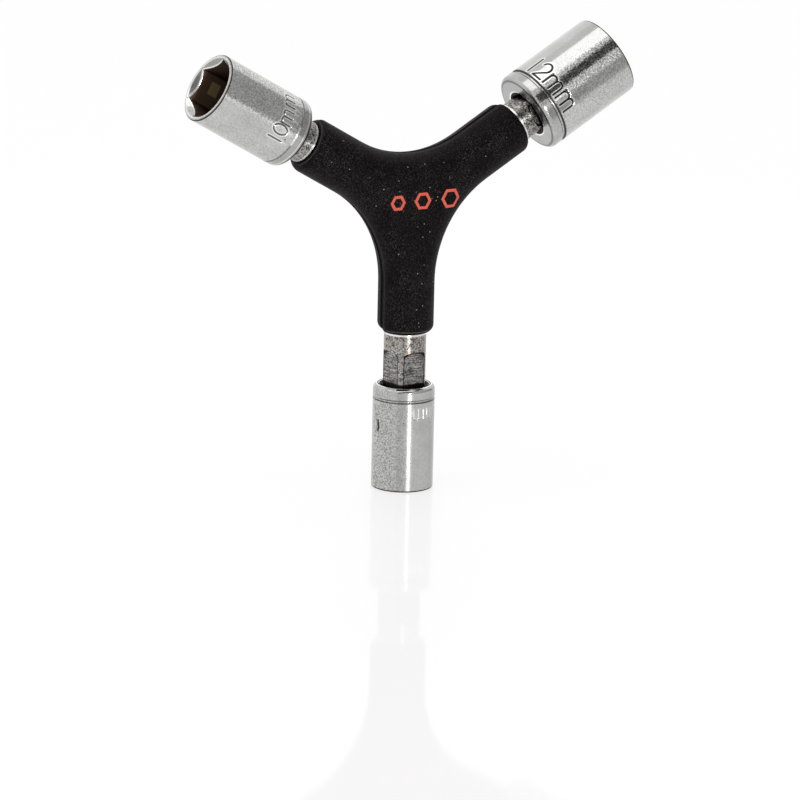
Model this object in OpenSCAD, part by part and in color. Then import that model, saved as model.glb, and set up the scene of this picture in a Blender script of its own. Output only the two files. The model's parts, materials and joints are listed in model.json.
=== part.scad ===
// Y-shaped socket wrench: three round bars welded at a hub, a two-shell handle
// around the weld, and a pull-off hexagon socket on the square end of each bar.
// Millimetres. The tool stands on its lower socket, in the XZ plane, with its front
// facing -Y. The origin is the centre of the lower socket's mouth.

/* [Reach] */
// Hub centre to the mouth of the lower socket
reach_lower = 55; // [50:0.5:80]
// Hub centre to the mouth of the two upper sockets
reach_upper = 49.4; // [46:0.2:80]

/* [Handle] */
// Bare bar between the handle's upper arms and the socket nearest to the hub
bar_show = 3.4; // [2:0.1:9]
// How much shorter the handle's lower arm is than its upper arms
lower_short = 1; // [0:0.1:4]
// Width of a handle arm
handle_w = 10.6; // [9.2:0.1:15]
// How far each flat face of the web lies below the crown of the arms
web_drop = 0.1; // [0.05:0.05:0.3]
// Radius of the hollow outline between two arms
web_r = 21; // [12:0.5:26]
// Hub centre to where the round arms rise out of the web's flat face
arm_root = 3; // [2:0.5:6]
// Rounding at the end of a handle arm
end_round = 1.6; // [0.4:0.1:2.5]
// How much the rear shell's arms stop short of the front shell's
rear_step = 0.4; // [0:0.1:1.5]
// Diameter of the pegs that locate the front shell in the rear one
peg_d = 1.6; // [1:0.1:2]
// Length of those pegs
peg_len = 1.8; // [1:0.1:2.4]
// Diameter of the pocket in the shells where the roots of the bars meet
hub_pocket_d = 4.8; // [4:0.1:6]

/* [Bars] */
// Diameter of the round bars
bar_d = 8; // [7:0.1:8.4]
// Square drive across flats
drive_af = 6.3; // [5.6:0.05:6.5]
// How far a drive reaches into its socket
drive_depth = 8.5; // [7:0.1:9]
// Length of full flat behind the socket nearest to the hub
flat_show = 0.1; // [0.1:0.1:1.2]
// Radius of the cutter that left the flats, over half the width of a flat
mill_ratio = 2.4; // [1.5:0.1:2.6]
// Rounding of that cutter's corner
mill_corner = 0.4; // [0.2:0.05:0.6]
// Turn of the square about the bar
drive_turn = -5; // [-44:1:44]
// Chamfer on the tip of a drive
tip_chamfer = 0.6; // [0.2:0.1:1]
// Radius of the weld in each crotch between two bars
weld_r = 1.5; // [1:0.1:1.6]
// How far the middle of the weld lies inside the crotch
weld_sink = 0.25; // [0.1:0.05:0.5]
// Thickness of the weld from front to back
weld_t = 5; // [3:0.1:5.6]

/* [Sockets] */
// Length of every socket
socket_len = 20; // [18.5:0.1:28]
// Hexagon across flats, lower socket
hex_lower = 8; // [6:0.5:8.5]
// Hexagon across flats, upper left socket
hex_left = 10; // [8:0.5:10.5]
// Hexagon across flats, upper right socket
hex_right = 12; // [10:0.5:13]
// Outer diameter of the lower socket over its hexagon
wall_lower = 3.7; // [3.4:0.1:8]
// Outer diameter of the upper left socket over its hexagon
wall_left = 3.4; // [3.2:0.1:8]
// Outer diameter of the upper right socket over its hexagon
wall_right = 4; // [3.6:0.1:8]
// Depth of the hexagon
hex_depth = 10; // [7:0.1:10.2]
// How far inside the hexagon's flats the cone of the mouth's countersink starts
cone_lap = 0.5; // [0.3:0.1:1]
// Width of the rim left outside the mouth's countersink
mouth_rim = 0.8; // [0.6:0.1:1.2]
// Rounding of the mouth's outer edge
mouth_round = 0.4; // [0.2:0.05:0.5]
// Rounding of the rear's outer edge
rear_round = 0.9; // [0.3:0.1:1]
// Diameter of the countersink where the drive goes in
entry_d = 9.6; // [9.4:0.1:9.8]
// Diameter of the hole through the web between hexagon and square
web_hole_d = 5; // [3:0.1:5.5]
// Distance of the ring groove from the rear
groove_from_rear = 2.5; // [1.6:0.1:5]
// Radius of the ring groove's section
groove_r = 0.4; // [0.2:0.05:0.5]

/* [Detents] */
// Diameter of the detent balls
ball_d = 3; // [2.5:0.1:3.2]
// Ball centre to the tip of the drive
ball_from_tip = 4; // [3:0.1:5]
// Wall left under the ball's hole
ball_floor = 1.2; // [0.8:0.1:1.4]
// Wire diameter of the detent springs
wire_d = 0.3; // [0.2:0.05:0.35]
// Turns of a detent spring
spring_turns = 3.5; // [2.5:0.5:4]

/* [Fits] */
// Clearance of a drive in its socket, each side
drive_fit = 0.1; // [0.05:0.01:0.2]
// Clearance of a hexagon on its bolt head, across flats
hex_fit = 0.1; // [0.05:0.01:0.2]
// Clearance between pieces that are fixed together
seat_fit = 0.05; // [0.03:0.01:0.1]
// Clearance round a detent ball
ball_fit = 0.05; // [0.03:0.01:0.1]

/* [Hidden] */
$fn = 64;

// Turn about Y that points a local +Z along each arm
lower_turn = 180;
left_turn = -60;
right_turn = 60;
TURNS = [lower_turn, left_turn, right_turn];
// Angle between an arm and the middle of the web beside it
half_web = 60;
// How far a cutter runs past what it cuts
over = 1;

// The socket nearest to the hub sets where the handle ends and where all flats begin
near_rear = min(reach_lower, reach_upper) - socket_len;
handle_reach = near_rear - bar_show;
half_w = handle_w / 2;
// Thickness of the web
web_t = handle_w - 2 * web_drop;
// Rounding of the web's sides, between the arms' radius and the web's half thickness
web_edge_r = (handle_w + web_t) / 4;
// From the middle of an arm to where the web's flat face turns into its side
web_flat = sqrt(web_edge_r ^ 2 - (web_t / 2) ^ 2);
// Right, left and lower arm, and how much each is shortened
ARM_ANGLES = [30, 150, 270];
ARM_SHORT = [0, 0, lower_short];
WEB_MIDDLES = [90, 210, 330];
// Hub centre to the centre of the hollow outline, and along the arm to where it starts
web_centre = (web_r + half_w) / sin(half_web);
arm_start = web_centre * cos(half_web);
// Hub centre to the crotch between two bars, and to a peg beside it
crotch = bar_d / 2 / sin(half_web);
weld_centre = crotch - weld_sink;
weld_end = weld_centre + weld_r;
web_edge = web_centre - web_r;
peg_centre = (weld_end + web_edge) / 2;
peg_fit = 2 * seat_fit;

od_lower = hex_lower + wall_lower;
od_left = hex_left + wall_left;
od_right = hex_right + wall_right;
drive_half = drive_af / 2;
recess_af = drive_af + 2 * drive_fit;
recess_depth = drive_depth + drive_fit;
// Half the width of a flat, the cutter that left it, and where that cutter came to rest
flat_half = sqrt((bar_d / 2) ^ 2 - drive_half ^ 2);
mill_r = mill_ratio * flat_half;
mill_rest = near_rear - flat_show + sqrt((mill_r - mill_corner) ^ 2 - flat_half ^ 2);

// A detent ball stands out of its flat by half of the drive's clearance
ball_r = ball_d / 2;
ball_hole_r = ball_r + ball_fit;
ball_out = drive_half + drive_fit / 2 - ball_r;
ball_hole_floor = ball_floor - drive_half;
spring_r = ball_r - ball_fit - wire_d / 2;
// The last turn carries the ball where its round side meets the wire
spring_top = ball_out - sqrt((ball_r + wire_d / 2 + seat_fit) ^ 2 - spring_r ^ 2);
spring_bottom = ball_hole_floor + wire_d / 2 + seat_fit;
spring_pitch = (spring_top - spring_bottom) / spring_turns;
wire_sides = 8;
turn_steps = 14;

// Moves a piece drawn from the hub along +Z onto its arm
module on_arm(turn) {
    translate([0, 0, reach_lower])
        rotate([0, turn, 0])
            children();
}

// Moves a piece drawn along +X onto the flat of a drive that the detent is in
module on_detent(turn, reach) {
    on_arm(turn)
        translate([0, 0, tip_at(reach) - ball_from_tip])
            rotate([0, 0, drive_turn - 90])
                children();
}

function rear_at(reach) = reach - socket_len;
function tip_at(reach) = rear_at(reach) + drive_depth;

// Rectangle from the axis out to r and up to h, with its far corner rounded
module rounded_end(r, h, round) {
    difference() {
        square([r, h]);
        translate([r - round, h - round])
            difference() {
                square(round + over);
                circle(round);
            }
    }
}

// Block between the arms, flat on both faces, with its three sides hollowed round
module handle_web() {
    corners = [for (i = [0 : 5])
        i % 2 == 0 ? [arm_start * cos(60 * i + 30), arm_start * sin(60 * i + 30)]
            : [web_centre * cos(60 * i + 30), web_centre * sin(60 * i + 30)]];
    difference() {
        linear_extrude(web_t, center = true)
            polygon(corners);
        for (middle = WEB_MIDDLES)
            rotate([0, 0, middle])
                translate([web_centre, 0, 0])
                    rotate_extrude()
                        difference() {
                            translate([0, -handle_w])
                                square([web_r + half_w - web_flat / 2, 2 * handle_w]);
                            translate([web_r + half_w, 0])
                                circle(web_edge_r);
                        }
    }
}

// Whole handle lying in the XY plane, with its bores for the bars and the weld
module handle_solid(reach) {
    difference() {
        union() {
            handle_web();
            for (i = [0 : 2])
                rotate([0, 90, ARM_ANGLES[i]])
                    rotate_extrude()
                        difference() {
                            rounded_end(half_w, reach - ARM_SHORT[i], end_round);
                            square([half_w + over, arm_root]);
                        }
        }
        for (arm = ARM_ANGLES)
            rotate([0, 90, arm])
                cylinder(r = bar_d / 2 + seat_fit, h = reach + over);
        cylinder(d = hub_pocket_d, h = bar_d + 4 * seat_fit, center = true);
        for (middle = WEB_MIDDLES)
            rotate([0, 0, middle])
                translate([weld_centre, 0, 0])
                    cylinder(r = weld_r + seat_fit, h = weld_t + 2 * seat_fit, center = true);
    }
}

// One shell, lying on its seam with its outside up, before it is turned upright
module shell(reach) {
    intersection() {
        handle_solid(reach);
        translate([-2 * reach, -2 * reach, seat_fit / 2])
            cube([4 * reach, 4 * reach, handle_w]);
    }
}

// Pegs or peg holes in the three webs
module web_pegs(d, length) {
    for (middle = WEB_MIDDLES)
        rotate([0, 0, middle])
            translate([peg_centre, 0, 0])
                cylinder(d = d, h = length);
}

module handle_front() {
    color("#1c1b1d")
        translate([0, 0, reach_lower])
            rotate([90, 0, 0])
                union() {
                    shell(handle_reach);
                    mirror([0, 0, 1])
                        translate([0, 0, -over])
                            web_pegs(peg_d, peg_len + over);
                }
}

module handle_rear() {
    color("#19181a")
        translate([0, 0, reach_lower])
            rotate([90, 0, 0])
                mirror([0, 0, 1])
                    difference() {
                        shell(handle_reach - rear_step);
                        translate([0, 0, -over])
                            web_pegs(peg_d + peg_fit, peg_len + peg_fit + over);
                    }
}

// What the cutter takes off one side of a bar, from its round end to past the tip
module flat_cutter(tip) {
    translate([drive_half + bar_d, 0, mill_rest])
        rotate([0, -90, 0])
            rotate_extrude()
                rounded_end(mill_r, bar_d, mill_corner);
    translate([drive_half, -bar_d, mill_rest])
        cube([bar_d, 2 * bar_d, tip + over - mill_rest]);
}

// Bar along +Z with a mitred root at the hub and a milled square end
module bar(reach) {
    tip = tip_at(reach);
    difference() {
        intersection() {
            union() {
                cylinder(d = bar_d, h = tip - tip_chamfer);
                translate([0, 0, tip - tip_chamfer])
                    cylinder(h = tip_chamfer, r1 = bar_d / 2, r2 = bar_d / 2 - tip_chamfer);
            }
            translate([0, 0, seat_fit / sin(half_web)])
                rotate([90, 0, 0])
                    linear_extrude(2 * bar_d, center = true)
                        polygon([[0, 0], [reach * tan(half_web), reach],
                            [-reach * tan(half_web), reach]]);
        }
        for (side = [0 : 90 : 270])
            rotate([0, 0, drive_turn + side])
                flat_cutter(tip);
        translate([0, 0, tip - ball_from_tip])
            rotate([0, 0, drive_turn - 90])
                translate([ball_hole_floor, 0, 0])
                    rotate([0, 90, 0])
                        cylinder(r = ball_hole_r, h = bar_d);
    }
}

module bar_lower() {
    color("#8d8983") on_arm(lower_turn) bar(reach_lower);
}

module bar_left() {
    color("#8d8983") on_arm(left_turn) bar(reach_upper);
}

module bar_right() {
    color("#8d8983") on_arm(right_turn) bar(reach_upper);
}

// Weld that fills the crotch half a web away from an arm, fitted round the bars
module weld(turn) {
    color("#6f6a64")
        difference() {
            on_arm(turn + half_web)
                translate([0, 0, weld_centre])
                    rotate([90, 0, 0])
                        cylinder(r = weld_r, h = weld_t, center = true);
            for (bar_turn = TURNS)
                on_arm(bar_turn)
                    cylinder(r = bar_d / 2 + seat_fit, h = 2 * bar_d);
        }
}

module weld_upper() {
    weld(left_turn);
}

module weld_left() {
    weld(lower_turn);
}

module weld_right() {
    weld(right_turn);
}

// Socket along +Z, its rear at the bottom and its mouth at the top
module socket_body(od, hex) {
    r = od / 2;
    hex_r = (hex + hex_fit) / 2 / cos(30);
    mouth_r = r - mouth_rim;
    cone_start = hex / 2 - cone_lap;
    entry_r = entry_d / 2;
    entry_end = drive_half - drive_fit;
    difference() {
        rotate_extrude()
            difference() {
                intersection() {
                    rounded_end(r, socket_len, mouth_round);
                    translate([0, socket_len])
                        mirror([0, 1])
                            rounded_end(r, socket_len, rear_round);
                }
                translate([r, groove_from_rear])
                    circle(groove_r);
            }
        translate([0, 0, socket_len - hex_depth])
            cylinder(r = hex_r, h = hex_depth + over, $fn = 6);
        translate([0, 0, socket_len - mouth_r + cone_start])
            cylinder(h = mouth_r - cone_start, r1 = cone_start, r2 = mouth_r);
        rotate([0, 0, drive_turn])
            translate([-recess_af / 2, -recess_af / 2, -over])
                cube([recess_af, recess_af, recess_depth + over]);
        cylinder(h = entry_r - entry_end, r1 = entry_r, r2 = entry_end);
        cylinder(d = web_hole_d, h = socket_len);
    }
}

module socket_on(turn, reach, od, hex) {
    color("#c9cacb")
        on_arm(turn)
            translate([0, 0, rear_at(reach)])
                socket_body(od, hex);
}

module socket_lower() {
    socket_on(lower_turn, reach_lower, od_lower, hex_lower);
}

module socket_left() {
    socket_on(left_turn, reach_upper, od_left, hex_left);
}

module socket_right() {
    socket_on(right_turn, reach_upper, od_right, hex_right);
}

module detent_ball(turn, reach) {
    color("#b9bbbd")
        on_detent(turn, reach)
            translate([ball_out, 0, 0])
                sphere(ball_r);
}

module detent_ball_lower() {
    detent_ball(lower_turn, reach_lower);
}

module detent_ball_left() {
    detent_ball(left_turn, reach_upper);
}

module detent_ball_right() {
    detent_ball(right_turn, reach_upper);
}

// Coil of round wire along +X, as rings of points joined into one closed surface
module coil() {
    rings = round(spring_turns * turn_steps);
    points = [for (i = [0 : rings], j = [0 : wire_sides - 1])
        let (a = 360 * i / turn_steps,
            b = 360 * j / wire_sides,
            out = spring_r + wire_d / 2 * cos(b))
            [spring_bottom + spring_pitch * i / turn_steps + wire_d / 2 * sin(b),
                out * cos(a), out * sin(a)]];
    sides = [for (i = [0 : rings - 1], j = [0 : wire_sides - 1])
        let (k = (j + 1) % wire_sides)
            [i * wire_sides + j, i * wire_sides + k,
                (i + 1) * wire_sides + k, (i + 1) * wire_sides + j]];
    first = [for (j = [0 : wire_sides - 1]) wire_sides - 1 - j];
    last = [for (j = [0 : wire_sides - 1]) rings * wire_sides + j];
    polyhedron(points, concat([first], sides, [last]), convexity = 6);
}

module detent_spring(turn, reach) {
    color("#a7a9ab") on_detent(turn, reach) coil();
}

module detent_spring_lower() {
    detent_spring(lower_turn, reach_lower);
}

module detent_spring_left() {
    detent_spring(left_turn, reach_upper);
}

module detent_spring_right() {
    detent_spring(right_turn, reach_upper);
}

handle_front();
handle_rear();
bar_lower();
bar_left();
bar_right();
weld_upper();
weld_left();
weld_right();
socket_lower();
socket_left();
socket_right();
detent_ball_lower();
detent_ball_left();
detent_ball_right();
detent_spring_lower();
detent_spring_left();
detent_spring_right();
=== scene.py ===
"""Looks of the Y-shaped socket wrench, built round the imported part.

Lengths are millimetres up to the studio section, and metres from there on.
"""

import json
import math

import bmesh
import bpy
import numpy as np
from mathutils import Matrix, Vector


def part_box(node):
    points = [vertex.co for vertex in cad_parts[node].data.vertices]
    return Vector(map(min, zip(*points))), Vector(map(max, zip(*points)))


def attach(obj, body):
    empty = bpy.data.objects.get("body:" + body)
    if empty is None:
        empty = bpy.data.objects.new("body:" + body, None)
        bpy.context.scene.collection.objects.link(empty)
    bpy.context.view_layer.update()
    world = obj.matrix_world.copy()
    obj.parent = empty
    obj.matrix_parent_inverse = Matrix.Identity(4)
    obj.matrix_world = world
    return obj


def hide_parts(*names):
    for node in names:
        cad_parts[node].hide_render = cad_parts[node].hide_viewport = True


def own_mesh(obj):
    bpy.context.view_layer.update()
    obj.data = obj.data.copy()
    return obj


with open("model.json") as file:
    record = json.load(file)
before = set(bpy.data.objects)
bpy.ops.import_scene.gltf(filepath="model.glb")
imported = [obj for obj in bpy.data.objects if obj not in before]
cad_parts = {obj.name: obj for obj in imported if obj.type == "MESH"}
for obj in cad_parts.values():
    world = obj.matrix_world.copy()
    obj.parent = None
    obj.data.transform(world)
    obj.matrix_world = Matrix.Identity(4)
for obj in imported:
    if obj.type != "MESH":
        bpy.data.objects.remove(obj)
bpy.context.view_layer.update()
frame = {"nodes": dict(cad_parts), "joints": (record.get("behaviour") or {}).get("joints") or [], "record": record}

MM = 0.001
MOUNTS = {m["name"]: m for m in frame["record"]["mounts"]}
JOINTS = {j["name"]: j for j in frame["joints"]}
ARMS = ("lower", "left", "right")

# Turn of each arm about Y, from straight up
ARM_TURNS = {"lower": math.pi, "left": -math.pi / 3, "right": math.pi / 3}


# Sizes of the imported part

def node_box(node):
    low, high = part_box(node)
    return np.array(low) / MM, np.array(high) / MM


def depth_of(node):
    """Front-to-back size of a node, which is the diameter of a round one."""
    low, high = node_box(node)
    return high[1] - low[1]


def mouth_of(arm):
    """Centre of an arm's mouth and the direction out of it."""
    mount = MOUNTS[arm + "_hex"]
    return np.array(mount["pos_m"]) / MM, np.array(mount["axis"])


left_mouth, left_axis = mouth_of("left")
HUB = left_mouth - left_axis * (left_mouth[0] / left_axis[0])
SOCKET_LENGTH = node_box("socket_lower")[1][2]
BAR_D = depth_of("bar_lower")
HANDLE_W = -2 * node_box("handle_front")[0][1]

# Sizes that no box shows, as in the part's source
END_ROUND = 1.6
DRIVE_AF = 6.3


def handle_reaches(node):
    """Reach of a shell's upper arms and of its lower arm, from its box."""
    low, high = node_box(node)
    rise = END_ROUND + (HANDLE_W / 2 - END_ROUND) * math.cos(math.pi / 6)
    return 2 * (high[2] - HUB[2] - rise) + END_ROUND, HUB[2] - low[2]


def add_object(name, data):
    """New object in the scene."""
    made = bpy.data.objects.new(name, data)
    bpy.context.scene.collection.objects.link(made)
    return made


# Camera, fitted to the photo

CAMERA_AZIMUTH = math.radians(-30.1)
CAMERA_ELEVATION = math.radians(13.74)
CAMERA_ROLL = math.radians(1.3)
CAMERA_DISTANCE = 1039.0
CAMERA_LENS = 247.7
CAMERA_AIM = (-0.68, 16.63)
SENSOR_WIDTH = 36.0
CLIP_METRES = (0.01, 20.0)

to_camera = np.array([
    math.sin(CAMERA_AZIMUTH) * math.cos(CAMERA_ELEVATION),
    -math.cos(CAMERA_AZIMUTH) * math.cos(CAMERA_ELEVATION),
    math.sin(CAMERA_ELEVATION),
])
camera_side = np.array([math.cos(CAMERA_AZIMUTH), math.sin(CAMERA_AZIMUTH), 0.0])
camera_up = np.cross(to_camera, camera_side)


def add_camera():
    """Camera that looks at the aim, which is given sideways and up from the frame's origin."""
    data = bpy.data.cameras.new("photo_camera")
    data.lens = CAMERA_LENS
    data.sensor_width = SENSOR_WIDTH
    data.clip_start, data.clip_end = CLIP_METRES
    camera = add_object("photo_camera", data)
    side = camera_side * math.cos(CAMERA_ROLL) + camera_up * math.sin(CAMERA_ROLL)
    up = camera_up * math.cos(CAMERA_ROLL) - camera_side * math.sin(CAMERA_ROLL)
    aim = camera_side * CAMERA_AIM[0] + np.array([0.0, 0.0, CAMERA_AIM[1]])
    place = Matrix.Identity(4)
    for row in range(3):
        place[row][0] = side[row]
        place[row][1] = up[row]
        place[row][2] = to_camera[row]
        place[row][3] = (aim[row] + to_camera[row] * CAMERA_DISTANCE) * MM
    camera.matrix_world = place
    bpy.context.scene.camera = camera


# Materials

class Finish:
    """A material being built, with short names for the nodes it uses."""

    def __init__(self, name):
        self.material = bpy.data.materials.new(name)
        self.material.use_nodes = True
        self.tree = self.material.node_tree
        self.shader = self.tree.nodes["Principled BSDF"]
        self.place = self.tree.nodes.new("ShaderNodeTexCoord").outputs["Object"]

    def join(self, out, into):
        self.tree.links.new(out, into)

    def set(self, **values):
        for name, value in values.items():
            self.shader.inputs[name.replace("_", " ")].default_value = value

    def feed(self, name, out):
        self.join(out, self.shader.inputs[name])

    def stored(self, name):
        """Value that the mesh holds for each of its points."""
        node = self.tree.nodes.new("ShaderNodeAttribute")
        node.attribute_name = name
        return node.outputs["Fac"]

    def on_arm(self, turn):
        """Distances from an arm's axis, along it from the hub and to the rear, in metres."""
        local = self.tree.nodes.new("ShaderNodeMapping")
        local.vector_type = "TEXTURE"
        local.inputs["Location"].default_value = (HUB * MM).tolist()
        local.inputs["Rotation"].default_value = (0.0, turn, 0.0)
        self.join(self.place, local.inputs["Vector"])
        flat = self.tree.nodes.new("ShaderNodeVectorMath")
        flat.operation = "MULTIPLY"
        flat.inputs[1].default_value = (1.0, 1.0, 0.0)
        self.join(local.outputs["Vector"], flat.inputs[0])
        away = self.tree.nodes.new("ShaderNodeVectorMath")
        away.operation = "LENGTH"
        self.join(flat.outputs["Vector"], away.inputs[0])
        parts = self.tree.nodes.new("ShaderNodeSeparateXYZ")
        self.join(local.outputs["Vector"], parts.inputs["Vector"])
        return away.outputs["Value"], parts.outputs["Z"], parts.outputs["Y"]

    def brushed_along(self, axis):
        """Stretches the highlights along an axis."""
        node = self.tree.nodes.new("ShaderNodeCombineXYZ")
        for socket, value in zip(node.inputs, axis):
            socket.default_value = value
        self.feed("Tangent", node.outputs["Vector"])

    def stretched(self, turn, stretch):
        """Object coordinates turned about Y and stretched along the turned axes."""
        node = self.tree.nodes.new("ShaderNodeMapping")
        node.vector_type = "TEXTURE"
        node.inputs["Rotation"].default_value = (0.0, turn, 0.0)
        node.inputs["Scale"].default_value = stretch
        self.join(self.place, node.inputs["Vector"])
        return node.outputs["Vector"]

    def noise(self, size, detail=3.0, roughness=0.55, place=None):
        """Cloudy values whose patches are about size millimetres across."""
        node = self.tree.nodes.new("ShaderNodeTexNoise")
        node.inputs["Scale"].default_value = 1.0 / (size * MM)
        node.inputs["Detail"].default_value = detail
        node.inputs["Roughness"].default_value = roughness
        self.join(place or self.place, node.inputs["Vector"])
        return node.outputs["Fac"]

    def specks(self, size, radius, picked):
        """Dots round scattered points about size millimetres apart, only where picked is 1.

        picked is a function of each point's random value; radius is the range, in shares of
        the size, over which a dot fades out."""
        node = self.tree.nodes.new("ShaderNodeTexVoronoi")
        node.inputs["Scale"].default_value = 1.0 / (size * MM)
        self.join(self.place, node.inputs["Vector"])
        dots = self.remap(node.outputs["Distance"], *radius, 1.0, 0.0)
        return self.times(dots, picked(node.outputs["Color"]))

    def remap(self, value, start, end, low=0.0, high=1.0):
        """Smooth step from low at the start to high at the end."""
        node = self.tree.nodes.new("ShaderNodeMapRange")
        node.interpolation_type = "SMOOTHSTEP"
        node.inputs["From Min"].default_value = start
        node.inputs["From Max"].default_value = end
        node.inputs["To Min"].default_value = low
        node.inputs["To Max"].default_value = high
        self.join(value, node.inputs["Value"])
        return node.outputs["Result"]

    def ramp(self, length, start, end, low=0.0, high=1.0):
        """Smooth step by a length in metres, between a start and an end in millimetres."""
        return self.remap(length, start * MM, end * MM, low, high)

    def sum(self, operation, *values):
        """Result of a sum on numbers or other nodes' outputs."""
        node = self.tree.nodes.new("ShaderNodeMath")
        node.operation = operation
        for socket, value in zip(node.inputs, values):
            if isinstance(value, float):
                socket.default_value = value
            else:
                self.join(value, socket)
        return node.outputs["Value"]

    def times(self, a, b):
        return self.sum("MULTIPLY", a, b)

    def square(self, value):
        return self.sum("POWER", value, 2.0)

    def blend(self, share, first, second):
        """Colour between two, each a colour or another node's output."""
        node = self.tree.nodes.new("ShaderNodeMix")
        node.data_type = "RGBA"
        self.join(share, node.inputs["Factor"])
        for socket, value in ((node.inputs[6], first), (node.inputs[7], second)):
            if isinstance(value, tuple):
                socket.default_value = (*value, 1.0)
            else:
                self.join(value, socket)
        return node.outputs[2]

    def scaled(self, colour, amount):
        node = self.tree.nodes.new("ShaderNodeVectorMath")
        node.operation = "SCALE"
        self.join(colour, node.inputs[0])
        self.join(amount, node.inputs["Scale"])
        return node.outputs["Vector"]

    def bump(self, height, depth, below=None):
        """Bumps whose full height is depth millimetres, over earlier bumps."""
        node = self.tree.nodes.new("ShaderNodeBump")
        node.inputs["Strength"].default_value = 1.0
        node.inputs["Distance"].default_value = depth * MM
        self.join(height, node.inputs["Height"])
        if below is not None:
            self.join(below, node.inputs["Normal"])
        return node.outputs["Normal"]


def black_moulding(name, painted_lightness):
    """Fine-grained black plastic with dust and light scratches, painted shade and painted highlights along the
    seam and round the arms' ends, and a painted lightness that scales its grain.
    """
    # Painted light: a lightness above 1 makes a lighter copy of the same plastic
    grain_dark = tuple(painted_lightness * c for c in (0.0012, 0.001, 0.0011))
    grain_light = tuple(painted_lightness * c for c in (0.065, 0.053, 0.055))
    seam_highlight_colour = (0.1, 0.088, 0.09)
    seam_shade_colour = (0.0004, 0.0003, 0.0003)
    scratch_colour = (0.2, 0.19, 0.19)
    dust_colour = (0.4, 0.39, 0.38)
    f = Finish(name)
    cloud = f.noise(6.0)
    grain = f.noise(0.22, detail=2.0, roughness=0.6)
    speckle = f.times(f.remap(grain, 0.48, 0.72), f.remap(cloud, 0.38, 0.62, 0.5, 1.0))
    base = f.blend(speckle, grain_dark, grain_light)
    # Painted shade and painted highlights that the mesh stores along the seam and round the arms' ends
    seam = f.stored("seam")
    base = f.blend(f.remap(seam, 0.0, 1.0), base, seam_highlight_colour)
    base = f.blend(f.remap(seam, -1.0, 0.0, 1.0, 0.0), base, seam_shade_colour)
    scratch = f.noise(1.6, detail=2.0, roughness=0.5, place=f.stretched(0.5, (0.35, 1.0, 6.0)))
    worn = f.times(f.remap(scratch, 0.69, 0.72, 0.0, 0.06), f.remap(cloud, 0.45, 0.6))
    base = f.blend(worn, base, scratch_colour)
    dust = f.specks(1.3, (0.05, 0.1), lambda pick: f.remap(pick, 0.68, 0.7))
    f.feed("Base Color", f.blend(dust, base, dust_colour))
    f.feed("Roughness", f.remap(grain, 0.3, 0.7, 0.46, 0.66))
    f.set(Specular_IOR_Level=0.06)
    f.feed("Normal", f.bump(grain, 0.03))
    return f.material


SHINE_KEEPS = 0.25
HOLLOW_DULLNESS = 0.78
DULL_ROUGHNESS = 0.6


def satin_chrome(name, axis, mark_colour, polish):
    """Satin chrome plate with grain and pits, and with painted reflections, painted shade and painted highlights
    from the values that a socket's mesh stores.
    """
    plate_dark = (0.46, 0.465, 0.458)
    plate_light = (0.51, 0.515, 0.508)
    grain_dark = (0.15, 0.15, 0.145)
    grain_light = (0.74, 0.745, 0.72)
    pit_colour = (0.06, 0.055, 0.05)
    # Stored colours: edge paints highlights on edges, glints, rings and beside the marks' strokes; inside paints
    # shade in recesses, grooves, nicks and on the mouth and cone; the hollow colour paints shade on the hexagon's
    # walls; lit paints light on one wall; mark is the marks' own colour
    stored_colours = {
        "edge": (0.93, 0.925, 0.9),
        "mark": mark_colour,
        "inside": (0.05, 0.03, 0.02),
        "hollow": (0.115, 0.072, 0.05),
        "lit": (0.33, 0.24, 0.125),
    }
    f = Finish(name)
    cloud = f.noise(5.0)
    grain = f.noise(0.3, detail=2.0, roughness=0.6)
    grainy = f.stored("grain")
    base = f.blend(f.remap(cloud, 0.35, 0.65), plate_dark, plate_light)
    base = f.blend(grainy, base, f.blend(f.remap(grain, 0.36, 0.64), grain_dark, grain_light))
    # Painted reflections and painted shade: a stored share, set round each socket from its tables, scales the
    # plate's colour
    base = f.scaled(base, f.stored("tone"))
    more_pits = f.times(grainy, 0.3)
    pits = f.specks(1.6, (0.06, 0.12), lambda pick: f.remap(f.sum("ADD", pick, more_pits), 0.74, 0.76))
    base = f.blend(pits, base, pit_colour)
    for key, colour in stored_colours.items():
        base = f.blend(f.stored(key), base, colour)
    f.feed("Base Color", base)
    shine = f.remap(f.stored("shine"), 0.0, 1.0, 1.0, SHINE_KEEPS)
    smooth = f.times(f.remap(grain, 0.3, 0.7, *polish), shine)
    dull = f.sum("MAXIMUM", f.stored("inside"), f.times(f.stored("hollow"), HOLLOW_DULLNESS))
    f.feed("Roughness", f.sum("MAXIMUM", smooth, f.times(dull, DULL_ROUGHNESS)))
    f.set(Metallic=1.0, Anisotropic=0.9)
    f.brushed_along(axis)
    f.feed("Normal", f.bump(f.times(grain, f.remap(grainy, 0.3, 1.0, 0.15, 1.0)), 0.018))
    return f.material


# Where each bar's painted shade by the socket's entry starts, from the socket's rear, and the tint of its patches
BARS = {
    "lower": {"entry_shade": -0.6, "tint": (0.36, 0.27, 0.2)},
    "left": {"entry_shade": 0.0, "tint": (0.15, 0.13, 0.12)},
    "right": {"entry_shade": 0.0, "tint": (0.085, 0.06, 0.06)},
}

# Distances from a bar's axis between which one finish gives way to the next; the middle pair brings in a painted
# dark line along the flats' edges
MILLED_FADE = (3.9, 3.96)
EDGE_LINE_FADE = (3.8, 3.88)
DRAWN_FADE = (3.96, 3.99)

# Half-round shoulder of a milled flat, with its middle given as a distance from the hub, and the band of painted
# shade that lies on the flat under it
SHOULDER_R = 3.54
SHOULDER_MIDDLE = 31.84
SHOULDER_SHADE_FADE = (SHOULDER_R - 0.45, SHOULDER_R - 0.3)
SHOULDER_SHADE_END = 0.1

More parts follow.
